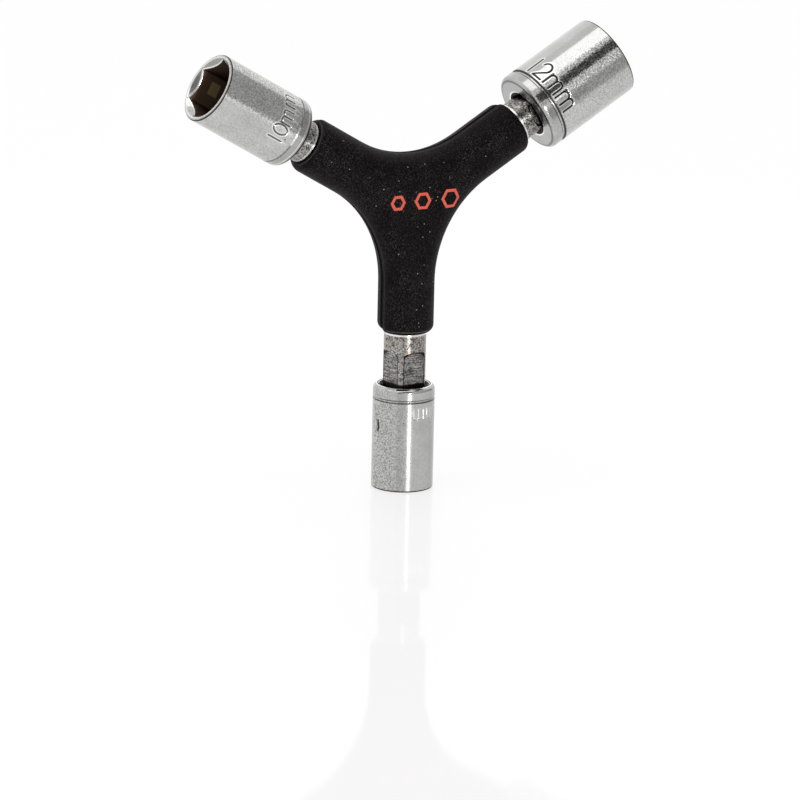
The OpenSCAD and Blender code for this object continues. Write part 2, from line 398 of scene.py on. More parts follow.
# Painted highlight: a bright line beside the handle's end, which fades out towards the rear
HIGHLIGHT_FADE = (0.28, 0.38)
HIGHLIGHT_REAR = 2.5

# Painted shade on the bar beside the socket's entry
ENTRY_SHADE_EDGE = 0.3
ENTRY_SHADE_FADE = (2.2, 4.2)


def drawn_steel(name, turn, axis, handle_end, entry_shade_from, tint):
    """Mottled drawn bar with milled flats, painted shade under the flats' shoulders and by the socket's entry, a
    painted dark line along the flats' edges and a painted highlight beside the handle's end.
    """
    drawn_dark = (0.07, 0.066, 0.062)
    drawn_light = (0.5, 0.485, 0.465)
    flat_dark = (0.11, 0.106, 0.1)
    flat_light = (0.36, 0.353, 0.345)
    edge_line_colour = (0.02, 0.018, 0.017)
    shoulder_shade_colour = (0.012, 0.011, 0.01)
    highlight_colour = (0.95, 0.94, 0.92)
    entry_shade_colour = (0.008, 0.007, 0.007)
    f = Finish(name)
    mottle = f.noise(0.34, detail=2.0, roughness=0.6)
    patch = f.noise(1.3, detail=2.0)
    lines = f.noise(0.5, detail=2.0, roughness=0.5, place=f.stretched(turn, (5.0, 5.0, 0.35)))
    out, along, rearward = f.on_arm(turn)
    speckle = f.remap(mottle, 0.38, 0.62)
    drawn = f.blend(speckle, drawn_dark, drawn_light)
    drawn = f.blend(f.remap(patch, 0.5, 0.66, 0.0, 0.6), drawn, tint)
    flats = f.blend(speckle, flat_dark, flat_light)
    flats = f.scaled(flats, f.remap(lines, 0.36, 0.64, 0.5, 1.5))
    milled = f.ramp(out, *MILLED_FADE, 1.0, 0.0)
    base = f.blend(milled, drawn, flats)
    # Painted dark line along the flats' edges
    painted_edge_line = f.times(f.ramp(out, *EDGE_LINE_FADE, 0.0, 0.9), f.ramp(out, *DRAWN_FADE, 1.0, 0.0))
    base = f.blend(painted_edge_line, base, edge_line_colour)
    # Painted shade on the flat close to the shoulder's arc, ending just past the shoulder's middle
    across = f.sum("SUBTRACT", f.square(out), (DRIVE_AF / 2 * MM) ** 2)
    from_middle = f.square(f.sum("SUBTRACT", along, SHOULDER_MIDDLE * MM))
    spread = f.sum("SQRT", f.sum("ADD", across, from_middle))
    shoulder_shade = f.times(
        f.times(milled, f.ramp(spread, *SHOULDER_SHADE_FADE, 0.0, 0.97)),
        f.ramp(along, SHOULDER_MIDDLE, SHOULDER_MIDDLE + SHOULDER_SHADE_END, 1.0, 0.0),
    )
    base = f.blend(shoulder_shade, base, shoulder_shade_colour)
    # Painted highlight beside the handle's end, on the round part only
    highlight_from, highlight_to = (handle_end + fade for fade in HIGHLIGHT_FADE)
    bright = f.times(f.ramp(along, highlight_from, highlight_to, 0.85, 0.0), f.ramp(out, *DRAWN_FADE))
    bright = f.times(bright, f.ramp(rearward, 0.0, HIGHLIGHT_REAR, 1.0, 0.0))
    base = f.blend(bright, base, highlight_colour)
    # Painted shade on the bar from the socket's entry into the socket, lighter further in
    fade_from, fade_to = (entry_shade_from + fade for fade in ENTRY_SHADE_FADE)
    entry_shade = f.times(
        f.ramp(along, entry_shade_from, entry_shade_from + ENTRY_SHADE_EDGE, 0.0, 0.95),
        f.ramp(along, fade_from, fade_to, 1.0, 0.3),
    )
    f.feed("Base Color", f.blend(entry_shade, base, entry_shade_colour))
    f.feed("Roughness", f.remap(mottle, 0.35, 0.65, 0.26, 0.38))
    f.set(Metallic=1.0, Anisotropic=0.9)
    f.brushed_along(axis)
    f.feed("Normal", f.bump(lines, 0.008, below=f.bump(mottle, 0.014)))
    return f.material


def dark_weld(name):
    valley = (0.1, 0.09, 0.085)
    crest = (0.26, 0.25, 0.24)
    f = Finish(name)
    ripple = f.noise(0.7, detail=4.0, roughness=0.6)
    f.feed("Base Color", f.blend(f.remap(ripple, 0.35, 0.65), valley, crest))
    f.feed("Roughness", f.remap(ripple, 0.3, 0.7, 0.4, 0.6))
    f.set(Metallic=1.0)
    f.feed("Normal", f.bump(ripple, 0.08))
    return f.material


def polished_steel(name, bright, worn):
    f = Finish(name)
    wear = f.noise(0.4, detail=4.0)
    f.feed("Base Color", f.blend(f.remap(wear, 0.4, 0.7), bright, worn))
    f.feed("Roughness", f.remap(wear, 0.3, 0.7, 0.1, 0.22))
    f.set(Metallic=1.0)
    f.feed("Normal", f.bump(wear, 0.003))
    return f.material


def red_print(name):
    deep_red = (0.72, 0.09, 0.055)
    light_red = (0.86, 0.155, 0.1)
    f = Finish(name)
    grain = f.noise(0.25, detail=4.0, roughness=0.65)
    f.feed("Base Color", f.blend(f.remap(grain, 0.3, 0.75), deep_red, light_red))
    f.feed("Roughness", f.remap(grain, 0.3, 0.7, 0.45, 0.65))
    f.set(Specular_IOR_Level=0.25)
    f.feed("Normal", f.bump(grain, 0.012))
    return f.material


def finish_node(name, material):
    """Gives a CAD node that stays in view its material."""
    node = frame["nodes"][name]
    node.data.materials.clear()
    node.data.materials.append(material)


# Mesh helpers

SHARP = math.radians(38)
MERGE_METRES = 1e-7


def add_piece(name, points, faces, material, stored=None):
    """Mesh object from points in millimetres, with its normals facing outward."""
    mesh = bpy.data.meshes.new(name)
    mesh.from_pydata((np.asarray(points) * MM).tolist(), [], faces)
    for key, values in (stored or {}).items():
        mesh.attributes.new(key, "FLOAT", "POINT").data.foreach_set("value", values)
    bm = bmesh.new()
    bm.from_mesh(mesh)
    bmesh.ops.remove_doubles(bm, verts=bm.verts, dist=MERGE_METRES)
    bmesh.ops.dissolve_degenerate(bm, edges=bm.edges, dist=MERGE_METRES)
    bmesh.ops.recalc_face_normals(bm, faces=bm.faces)
    bm.to_mesh(mesh)
    bm.free()
    mesh.polygons.foreach_set("use_smooth", [True] * len(mesh.polygons))
    mesh.set_sharp_from_angle(angle=SHARP)
    mesh.materials.append(material)
    return add_object(name, mesh)


def grid_faces(rows, columns, wrap_rows=False, wrap_columns=False):
    """Quads over a grid of points that was stored row by row."""
    faces = []
    for i in range(rows if wrap_rows else rows - 1):
        for j in range(columns if wrap_columns else columns - 1):
            row = i * columns
            next_row = (i + 1) % rows * columns
            next_j = (j + 1) % columns
            faces.append((row + j, row + next_j, next_row + next_j, next_row + j))
    return faces


def wrapped(angles):
    """The same angles, within half a turn of zero."""
    return (angles + math.pi) % (2 * math.pi) - math.pi


# Strokes of the plain size marks, drawn in a box one unit tall

def arc(cx, cy, rx, ry, start, end, steps=12):
    angles = np.radians(np.linspace(start, end, steps + 1))
    return [(cx + rx * math.cos(a), cy + ry * math.sin(a)) for a in angles]


SIGNS = {
    "0": [arc(0, 0.5, 0.3, 0.5, 0, 360, 24)],
    "1": [[(0.0, 1.0), (0.0, 0.0)]],
    "2": [arc(0, 0.7, 0.28, 0.3, 165, -35) + [(-0.28, 0.0), (0.3, 0.0)]],
    "8": [arc(0, 0.75, 0.23, 0.25, 0, 360, 20), arc(0, 0.25, 0.28, 0.25, 0, 360, 20)],
    "m": [
        [(-0.42, 0.0), (-0.42, 0.72)],
        [(-0.42, 0.4)] + arc(-0.21, 0.5, 0.21, 0.22, 180, 0, 8) + [(0.0, 0.0)],
        [(0.0, 0.4)] + arc(0.21, 0.5, 0.21, 0.22, 180, 0, 8) + [(0.42, 0.0)],
    ],
}


def stroke_distance(u, v, lines):
    """Distance from each point (u, v) to the nearest of the strokes."""
    nearest = np.full(u.shape, np.inf)
    for line in lines:
        for (x0, y0), (x1, y1) in zip(line[:-1], line[1:]):
            dx = x1 - x0
            dy = y1 - y0
            share = np.clip(((u - x0) * dx + (v - y0) * dy) / (dx * dx + dy * dy), 0.0, 1.0)
            nearest = np.minimum(nearest, np.hypot(u - x0 - share * dx, v - y0 - share * dy))
    return nearest


# Sockets. Angles are degrees from the side that faces the camera: of each mark and nick, and
# of each value in the tables of painted light, grain, glint and cone. A nick also has a lower
# and an upper height. The rear shade band and facet are degrees round the rear edge, from its
# flat end to its side. Marks have a height, a gap to the groove, half a stroke's width and how
# bright the painted highlight beside their strokes is. The hexagon is across its flats, the
# groove is a radius, and polish is a range of roughness. The tables of painted light scale
# the plate's colour as painted reflections and painted shade, the cone's table does the same
# on the mouth's cone, and the glint is a painted highlight in the groove. The rear keys paint
# a darker rear, painted shade in a band round the rear edge, and a highlight ring and line on
# that edge; the groove's shade paints dark lines along the groove's edges.

PLAIN_SOCKET = {
    "nicks": [],
    "rear_painted_shade": 0.0, "rear_shade_band": (0, 0), "rear_highlight_ring": 0.0, "rear_highlight_line": 0.0, "rear_tone": 1.0,
    "facet": None, "shine": 0.0,
    "glint": ((0, 0.0),), "cone": ((0, 1.0),),
}
SOCKETS = {
    "lower": PLAIN_SOCKET | {
        "hex": 8.0, "groove": 0.3, "groove_shade": 0.6, "polish": (0.27, 0.33),
        "marks": [("m", -29), ("m", -59), ("8", -88)], "height": 2.5, "gap": 1.1,
        "stroke": 0.13, "painted_edge_line": 0.25, "mark_colour": (0.72, 0.72, 0.7), "nicks": [(54, 6.6, 8.5)],
        "tone": ((-72, 0.75), (-62, 0.88), (-50, 1.04), (-24, 1.12), (-14, 1.0), (0, 0.9), (60, 0.92)),
        "grain": ((-20, 0.14), (-8, 0.22), (2, 0.36), (30, 0.58), (60, 0.64), (100, 0.3)),
        "rear_highlight_ring": 0.9, "facet": (21, 51), "shine": 1.0,
    },
    "left": PLAIN_SOCKET | {
        "hex": 10.0, "groove": 0.14, "groove_shade": 0.6, "polish": (0.17, 0.23),
        "marks": [("1", -20), ("0", -3), ("m", 19), ("m", 50)], "height": 3.1, "gap": 1.7,
        "stroke": 0.12, "painted_edge_line": 0.8, "mark_colour": (0.09, 0.09, 0.09),
        "tone": ((-40, 1.0), (-26, 1.12), (-8, 1.06), (4, 0.95), (48, 0.95), (54, 1.0)),
        "grain": ((-90, 0.3), (-70, 0.4), (-30, 0.2), (-8, 0.18), (2, 0.4), (50, 0.5), (70, 0.75),
                  (100, 0.3)),
        "rear_painted_shade": 0.95, "rear_shade_band": (25, 75), "rear_highlight_line": 0.7, "rear_tone": 0.8,
        "glint": ((-20, 0.0), (-16, 0.9), (-2, 0.9), (14, 0.7), (19, 0.0)),
        "cone": ((-180, 0.42), (-160, 0.36), (-150, 0.8), (-140, 1.25), (-95, 1.25), (-80, 1.0),
                 (90, 0.88), (148, 0.88), (156, 0.55), (180, 0.42)),
    },
    "right": PLAIN_SOCKET | {
        "hex": 12.0, "groove": 0.4, "groove_shade": 0.85, "polish": (0.15, 0.23),
        "marks": [("1", -52), ("2", -34), ("m", -9), ("m", 19)], "height": 3.8, "gap": 0.6,
        "stroke": 0.18, "painted_edge_line": 0.8, "mark_colour": (0.015, 0.015, 0.015),
        "tone": ((-20, 1.0), (28, 1.0), (36, 1.12), (54, 1.1), (66, 1.0)),
        "grain": ((-40, 0.1), (-22, 0.3), (-13, 0.9), (2, 0.9), (12, 0.4), (100, 0.25)),
        "rear_painted_shade": 0.6, "rear_shade_band": (-5, 25), "rear_tone": 0.86,
    },
}
STORED = ("inside", "edge", "mark", "lit", "hollow", "tone", "grain", "shine")

# Shape of the section
HEX_FIT = 0.1
HEX_DEPTH = 10.0
MOUTH_RIM = 0.6
MOUTH_ROUND = 0.4
REAR_ROUND = 0.9
REAR_STEPS = 10
FACET_INSET = 0.12
ENTRY_R = 4.8
RECESS_HALF = 3.25
RECESS_DEPTH = 8.6
DRIVE_TURN = math.radians(-5)
WEB_HOLE_R = 2.5
GROOVE_AT = 2.5
GROOVE_REACH = 0.4
GROOVE_STEPS = 11
EDGE = 0.1

# Marks and nicks, with how close the mesh's columns and rows lie
MARK_DEPTH = 0.12
MARK_SOFT = 0.08
MARK_STEP = 0.09
MARK_PAD = math.radians(16)
EDGE_LINE_SPREAD = 0.1
EDGE_LINE_AWAY = 1.8 * EDGE_LINE_SPREAD
NICK_STROKE = 0.25
NICK_STEP = 0.07
NICK_PAD = 0.15
NICK_BEND = ((0.1, 0.0), (-0.12, 0.6), (0.06, 1.0))
COLUMN_STEP = math.radians(3)
COLUMN_GAP = 0.004

# Stored looks, most of them painted shade and painted highlights
REAR_GRAIN = 0.6
HIGHLIGHT_RING_TO = 20
GROOVE_SHADE_FROM = 0.55
MOUTH_DARK = (0.0, 1.0, 1.0, 0.5, 0.0, 0.0)
CONE_DARK = 0.25
LIT_FROM = 3.2
LIT_TO = 5.3
LIT_ANGLES = (70, 98)


def arm_axes(arm):
    """Rear centre of an arm's socket and its axes, the last pointing out of the mouth."""
    mouth, out = mouth_of(arm)
    across = np.array([0.0, 1.0, 0.0])
    return mouth - out * SOCKET_LENGTH, np.cross(across, out), across, out


def facing_angle(arm):
    """Angle about an arm, from its first axis, that faces the camera."""
    _, side, across, _ = arm_axes(arm)
    return math.atan2(to_camera @ across, to_camera @ side)


def corner_radius(angles, half, sides, turn):
    """Radius of a regular opening at each angle, with its corners at the turn."""
    step = 2 * math.pi / sides
    off = (angles - turn) % step - step / 2
    return half / np.cos(off)


def socket_columns(arm, radius):
    """Angles of the columns of a socket's mesh, close together under its marks."""
    facing = facing_angle(arm)
    turns = [facing + math.radians(a) for _, a in SOCKETS[arm]["marks"]]
    fine = np.arange(min(turns) - MARK_PAD, max(turns) + MARK_PAD, MARK_STEP / radius)
    for turn, _, _ in SOCKETS[arm]["nicks"]:
        middle = facing + math.radians(turn)
        fine = np.append(fine, np.arange(middle - NICK_PAD, middle + NICK_PAD, NICK_STEP / radius))
    coarse = np.arange(0, 2 * math.pi, COLUMN_STEP)
    square = [DRIVE_TURN + math.pi / 4 + k * math.pi / 2 for k in range(4)]
    corners = [k * math.pi / 3 for k in range(6)]
    exact = np.array(square + corners) % (2 * math.pi)
    near = np.concatenate([coarse, fine % (2 * math.pi)])
    gap = np.abs(wrapped(near[:, None] - exact[None, :])).min(axis=1)
    return np.unique(np.round(np.concatenate([near[gap > COLUMN_GAP], exact]), 6))


def mark_start(arm):
    """Height of the marks' feet above a socket's rear."""
    return GROOVE_AT + GROOVE_REACH + SOCKETS[arm]["gap"]


def mark_distance(arm, angles, height, radius):
    """Distance along a socket's side from each place to the nearest stroke of its marks."""
    facing = facing_angle(arm)
    tall = SOCKETS[arm]["height"]
    nearest = np.full(angles.shape, np.inf)
    for sign, turn in SOCKETS[arm]["marks"]:
        off = wrapped(angles - facing - math.radians(turn))
        lines = [[(x * tall, y * tall) for x, y in line] for line in SIGNS[sign]]
        away = stroke_distance(off * radius, np.full(angles.shape, height - mark_start(arm)), lines)
        nearest = np.minimum(nearest, away)
    return nearest


def within_stroke(away, stroke):
    """1 inside a stroke and 0 outside it, with a soft edge."""
    return np.clip((stroke + MARK_SOFT - away) / (2 * MARK_SOFT), 0.0, 1.0)


def nick_share(arm, angles, height, radius):
    """How deep the dents in a socket's side are at each place, from 0 to 1."""
    share = np.zeros(angles.shape)
    for turn, low, high in SOCKETS[arm]["nicks"]:
        off = wrapped(angles - facing_angle(arm) - math.radians(turn))
        bend = [(x, low + up * (high - low)) for x, up in NICK_BEND]
        away = stroke_distance(off * radius, np.full(angles.shape, height), [bend])
        share = np.maximum(share, within_stroke(away, NICK_STROKE))
    return share


def from_table(arm, key, angles):
    """Value at each angle from one of a socket's tables."""
    off = np.degrees(wrapped(angles - facing_angle(arm)))
    table = SOCKETS[arm][key]
    return np.interp(off, [a for a, _ in table], [v for _, v in table])


def rear_edge(radius, facet):
    """Places round a rear edge, from its flat end to its side: degrees, radius and height."""
    def on_round(degrees):
        a = math.radians(degrees)
        return np.array([radius - REAR_ROUND * (1 - math.sin(a)), REAR_ROUND * (1 - math.cos(a))])

    steps = np.linspace(0, 90, REAR_STEPS)
    if not facet:
        return [(degrees, *on_round(degrees)) for degrees in steps]
    start, end = facet
    low = on_round(start)
    high = on_round(end)
    places = [(degrees, *on_round(degrees)) for degrees in steps if not start <= degrees <= end]
    for share in (0.0, FACET_INSET, 1 - FACET_INSET, 1.0):
        places.append((start + share * (end - start), *(low + share * (high - low))))
    return sorted(places)


def socket_rows(arm, radius, angles):
    """Closed loop of rows round a socket's section: radius, height and stored values."""
    look = SOCKETS[arm]
    ones = np.ones(angles.shape)
    hexagon = corner_radius(angles, (look["hex"] + HEX_FIT) / 2, 6, 0.0)
    square = corner_radius(angles, RECESS_HALF, 4, DRIVE_TURN + math.pi / 4)
    # Painted reflections and painted shade round the socket, with a darker painted share on the rear
    side_tone = from_table(arm, "tone", angles)
    side_grain = from_table(arm, "grain", angles)
    rear_tone = side_tone * look["rear_tone"]
    rear_grain = side_grain * REAR_GRAIN
    plain = dict.fromkeys(STORED, 0.0) | {"tone": side_tone, "grain": side_grain}
    rear = {"tone": rear_tone, "grain": rear_grain}
    rows = []

    def row(r, z, **looks):
        values = plain | looks
        rows.append([value * ones for value in (r, z, *(values[key] for key in STORED))])

    # Square recess, rear face and rear edge, with painted shade in the recess and on the entry's chamfer, a
    # painted highlight on the entry's rim, and a darker painted rear
    row(WEB_HOLE_R, RECESS_DEPTH, inside=1.0)
    row(square, RECESS_DEPTH, inside=1.0)
    row(square, ENTRY_R - square + EDGE, inside=1.0)
    row(square + EDGE, ENTRY_R - square, inside=1.0)
    row(ENTRY_R - EDGE, EDGE, inside=1.0)
    row(ENTRY_R - EDGE / 2, EDGE / 2, edge=1.0)
    row(ENTRY_R + EDGE, 0.0, edge=1.0)
    row(ENTRY_R + 2.5 * EDGE, 0.0, **rear)
    row(radius - REAR_ROUND - EDGE, 0.0, **rear)
    # Painted shade in a band round the rear edge, a painted highlight ring near its flat end and a painted
    # highlight line at its side
    band_from, band_to = look["rear_shade_band"]
    for degrees, r, z in rear_edge(radius, look["facet"]):
        dark = look["rear_painted_shade"] if band_from < degrees < band_to else 0.0
        ring = look["rear_highlight_ring"] if degrees <= HIGHLIGHT_RING_TO else 0.0
        row(r, z, edge=ring, tone=rear_tone * (1 - dark), grain=rear_grain, shine=look["shine"])
    row(radius, REAR_ROUND + EDGE, edge=look["rear_highlight_line"], **rear)
    row(radius, REAR_ROUND + 3 * EDGE, **rear)

    # Groove, with painted shade along its edges and a painted glint in it
    groove_r = look["groove"]
    glint = from_table(arm, "glint", angles)
    row(radius, GROOVE_AT - groove_r - EDGE, **rear)
    for a in np.radians(np.linspace(-90, 90, GROOVE_STEPS)):
        r = radius - groove_r * math.cos(a)
        line = look["groove_shade"] if abs(math.sin(a)) > GROOVE_SHADE_FROM else 0.0
        row(r, GROOVE_AT + groove_r * math.sin(a), inside=line * (1 - glint), edge=glint)
    row(radius, GROOVE_AT + groove_r + EDGE)

    # Marks and nicks, with painted highlights beside the strokes and painted shade in the nicks
    stroke = look["stroke"]
    first_mark = mark_start(arm) - 3 * stroke
    last_mark = mark_start(arm) + look["height"] + 3 * stroke
    for _, _, high in look["nicks"]:
        last_mark = max(last_mark, high + 3 * NICK_STROKE)
    for z in np.arange(first_mark, last_mark, MARK_STEP):
        away = mark_distance(arm, angles, z, radius)
        share = within_stroke(away, stroke)
        share = share * share * (3 - 2 * share)
        painted_edge_line = np.exp(-(((away - stroke - EDGE_LINE_AWAY) / EDGE_LINE_SPREAD) ** 2))
        nick = nick_share(arm, angles, z, radius)
        r = radius - MARK_DEPTH * np.maximum(share, nick)
        row(r, z, inside=nick, edge=look["painted_edge_line"] * painted_edge_line, mark=share)
    row(radius, last_mark + EDGE)

    # Mouth and its cone, with painted shade on the mouth's rounding and on the cone, painted reflections on the
    # cone and painted highlights on its edges
    row(radius, SOCKET_LENGTH - MOUTH_ROUND - EDGE)
    for a, dark in zip(np.radians(np.linspace(0, 90, len(MOUTH_DARK))), MOUTH_DARK):
        r = radius - MOUTH_ROUND * (1 - math.cos(a))
        row(r, SOCKET_LENGTH - MOUTH_ROUND * (1 - math.sin(a)), inside=dark)
    cone_r = radius - MOUTH_RIM
    cone = {"inside": CONE_DARK, "tone": from_table(arm, "cone", angles)}
    lip = SOCKET_LENGTH - (cone_r - hexagon)
    row(cone_r + EDGE / 2, SOCKET_LENGTH, edge=0.5)
    row(cone_r - EDGE / 2, SOCKET_LENGTH - EDGE / 2, edge=0.5)
    row(cone_r - 2 * EDGE, SOCKET_LENGTH - 2 * EDGE, **cone)
    row(hexagon + 2.5 * EDGE, lip + 2.5 * EDGE, **cone)
    row(hexagon + EDGE, lip + EDGE, edge=1.0)
    row(hexagon, lip - EDGE, edge=0.6)

    # Hexagon, with painted shade on its walls and floor, and painted light on the stretch of one wall that light
    # from the mouth reaches
    row(hexagon, lip - 2 * EDGE, hollow=1.0)
    lit_from, lit_to = np.radians(LIT_ANGLES)
    wall = ((angles > lit_from) & (angles < lit_to)).astype(float)
    for depth, lit in ((LIT_FROM, 0.0), (LIT_FROM + EDGE, wall), (LIT_TO, wall), (LIT_TO + EDGE, 0.0)):
        row(hexagon, SOCKET_LENGTH - depth, hollow=1.0, lit=lit)
    row(hexagon, SOCKET_LENGTH - HEX_DEPTH, hollow=1.0)
    row(WEB_HOLE_R, SOCKET_LENGTH - HEX_DEPTH, inside=1.0)
    return rows


def add_socket(arm, material):
    node = "socket_" + arm
    radius = depth_of(node) / 2
    rear, side, across, out = arm_axes(arm)
    angles = socket_columns(arm, radius)
    rows = socket_rows(arm, radius, angles)
    points = []
    for r, z, *_ in rows:
        ring = np.outer(r * np.cos(angles), side) + np.outer(r * np.sin(angles), across)
        points.append(rear + ring + np.outer(z, out))
    faces = grid_faces(len(rows), len(angles), wrap_rows=True, wrap_columns=True)
    stored = {key: np.concatenate([row[2 + i] for row in rows]) for i, key in enumerate(STORED)}
    piece = add_piece(node + "_shell", np.concatenate(points), faces, material, stored)
    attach(piece, node)
    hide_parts(node)


# Handle

HALF_W = HANDLE_W / 2
WEB_R = 21.0
SEAM_GAP = 0.05
SEAM_GROOVE = 0.3
BORE_FIT = 0.04
BORE_R = BAR_D / 2 + BORE_FIT
BORE_DEPTH = 4.0
PATH_R = WEB_R + HALF_W
WEB_CENTRE = PATH_R / math.sin(math.pi / 3)
ARM_START = WEB_CENTRE / 2
BORE_STATIONS = 2
STRAIGHT_STATIONS = 8
WEB_STATIONS = 25
ROUND_STEPS = 18

# Painted shade and painted highlights, from -1, the darkest, to 1, the lightest: up from the seam, and round an
# arm's rim
SEAM_SHADE = [-0.6, 0.34, 0.1]
LOWER_END_SHADE = (-1.0, -1.0, -1.0, -0.9, 1.0, -0.3, 0.0, 0.0)
UPPER_END_SHADE = (-1.0, -0.8, 0.6, 0.1, -0.3, -0.2, 0.0, 0.0)


def heading(angle):
    """Direction in the tool's plane, right and up."""
    return np.array([math.cos(angle), math.sin(angle)])


def arm_stations(reach, end_shade):
    """Stations from an arm's bore to its web.

    Each holds the distance from the hub, the radius, whether it is inside the bore,
    and the shade of the end's rim."""
    floor = reach - BORE_DEPTH
    stations = [(floor, 0.0, True, 0.0), (floor, BORE_R, True, 0.0)]
    last = math.acos((BORE_R - HALF_W + END_ROUND) / END_ROUND)
    for a, shade in zip(np.linspace(last, 0, len(end_shade)), end_shade):
        radius = HALF_W - END_ROUND * (1 - math.cos(a))
        stations.append((reach - END_ROUND * (1 - math.sin(a)), radius, False, shade))
    for d in np.linspace(floor, ARM_START, STRAIGHT_STATIONS):
        stations.append((d, HALF_W, False, 0.0))
    return stations


def web_path(arm_angle, end, next_end):
    """Stations from one arm's end round the web to the next arm's end.

    Each holds a point on the middle line, the direction out to the side, the radius
    of the section, whether it is inside a bore, and the shade of an end's rim."""
    path = []
    for angle, side, arm_end in ((arm_angle, 1, end), (arm_angle + 2 * math.pi / 3, -1, next_end)):
        along = heading(angle)
        out = heading(angle + side * math.pi / 2)
        path.append([(along * d, out, r, bore, shade) for d, r, bore, shade in arm_stations(*arm_end)])
    middle = arm_angle + math.pi / 3
    centre = WEB_CENTRE * heading(middle)
    bend = []
    for t in np.linspace(-math.pi / 6, math.pi / 6, WEB_STATIONS)[1:-1]:
        inward = -heading(middle + math.pi - t)
        bend.append((centre - inward * PATH_R, inward, HALF_W, False, 0.0))
    return path[0], bend, path[1][::-1]


def handle_surface(x, z):
    """Height of the handle's face above the seam at a place on the web."""
    height = np.full(np.shape(x), HALF_W)
    for middle in (math.pi / 2, math.pi * 7 / 6, math.pi * 11 / 6):
        away = np.hypot(x - WEB_CENTRE * math.cos(middle), z - WEB_CENTRE * math.sin(middle))
        rise = np.clip(PATH_R - away, 0.0, HALF_W)
        height = np.minimum(height, np.sqrt(HALF_W ** 2 - rise ** 2))
    return height


def add_handle(node, face, material):
    """One shell of the handle; face is -1 for the front and 1 for the rear."""
    points = []
    seam_painted_light = []
    faces = []

    def store(flat, height, seam=0.0):
        points.append((HUB[0] + flat[0], face * (SEAM_GAP / 2 + height), HUB[2] + flat[1]))
        seam_painted_light.append(seam)
        return len(points) - 1

    lift = math.asin(SEAM_GROOVE / HALF_W)
    turns = np.linspace(lift, math.pi / 2, ROUND_STEPS)
    upper_reach, lower_reach = handle_reaches(node)
    upper = (upper_reach, UPPER_END_SHADE)
    lower = (lower_reach, LOWER_END_SHADE)
    for arm_angle, end, next_end in (
        (math.pi / 6, upper, upper),
        (math.pi * 5 / 6, upper, lower),
        (math.pi * 3 / 2, lower, upper),
    ):
        first, bend, last = web_path(arm_angle, end, next_end)
        stations = first + bend + last
        rounds = []
        seams = []
        # Each point stores painted shade or a painted highlight: dark in the seam's groove, then from the seam's
        # and the end's tables
        for flat, out, r, bore, shade in stations:
            if bore:
                section = [store(flat + out * r, 0.0)]
                section += [store(flat + out * r * math.cos(t), r * math.sin(t)) for t in turns]
            else:
                section = [store(flat + out * (r - SEAM_GROOVE), 0.0, -1.0)]
                for t, seam in zip(turns, SEAM_SHADE + [shade] * ROUND_STEPS):
                    section.append(store(flat + out * r * math.cos(t), r * math.sin(t), seam))
            rounds.append(section)
            edge = min(BORE_R, r - SEAM_GROOVE)
            seams.append([store(flat, 0.0), store(flat + out * edge, 0.0), section[0]])
        for a, b in zip(rounds[:-1], rounds[1:]):
            for j in range(len(a) - 1):
                faces.append((a[j], b[j], b[j + 1], a[j + 1]))
        end_stations = len(first) - STRAIGHT_STATIONS
        for i in range(len(stations) - 1):
            from_end = min(i, len(stations) - 2 - i)
            if from_end < BORE_STATIONS:
                continue
            a = seams[i]
            b = seams[i + 1]
            faces.append((a[1], b[1], b[2], a[2]))
            if from_end >= end_stations:
                faces.append((a[0], b[0], b[1], a[1]))
        middle_top = store(np.zeros(2), HALF_W)
        middle_seam = store(np.zeros(2), 0.0)
        start = len(first) - 1
        for i in range(start, start + len(bend) + 1):
            faces.append((middle_top, rounds[i][-1], rounds[i + 1][-1]))
            faces.append((middle_seam, seams[i][0], seams[i + 1][0]))
    piece = add_piece(node + "_shell", points, faces, material, {"seam": seam_painted_light})
    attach(piece, "wrench")
    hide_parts(node)


# Detent springs, whose foot and head are depths from the ball's centre

WIRE_R = 0.15
WIRE_SIDES = 12
SPRING_R = 1.3
SPRING_TURNS = 3.5
SPRING_STEPS = 113
SPRING_FOOT = 3.45
SPRING_HEAD = 1.095


def add_spring(arm, material):
    """The coil under a detent's ball."""
    low, high = node_box("detent_ball_" + arm)
    centre = (low + high) / 2
    press = JOINTS[f"detent_{arm}_press"]
    inward = np.array(press["axis"])
    along = mouth_of(arm)[1]
    across = np.cross(inward, along)
    turns = np.linspace(0, SPRING_TURNS * 2 * math.pi, SPRING_STEPS)
    depths = np.linspace(SPRING_FOOT, SPRING_HEAD, SPRING_STEPS)
    sides = np.linspace(0, 2 * math.pi, WIRE_SIDES, endpoint=False)
    points = []
    for turn, depth in zip(turns, depths):
        outward = math.cos(turn) * along + math.sin(turn) * across
        middle = centre + inward * depth + outward * SPRING_R
        for side in sides:
            points.append(middle + WIRE_R * (math.cos(side) * outward + math.sin(side) * inward))
    faces = grid_faces(SPRING_STEPS, WIRE_SIDES, wrap_columns=True)
    faces.append(tuple(range(WIRE_SIDES)))
    faces.append(tuple(range(len(points) - WIRE_SIDES, len(points))))
    piece = add_piece(f"detent_spring_{arm}_coil", points, faces, material)
    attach(piece, "wrench")
    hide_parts("detent_spring_" + arm)
    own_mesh(piece)


# Plain printed hexagons on the front of the handle: right and up from the hub, and size

PRINT_MARKS = ((-5.2, 1.0, 1.6), (0.1, 1.0, 1.8), (6.1, 1.0, 2.05))
PRINT_LINE = 0.62
PRINT_THICK = 0.03
PRINT_SINK = 0.02
PRINT_STEPS = 5


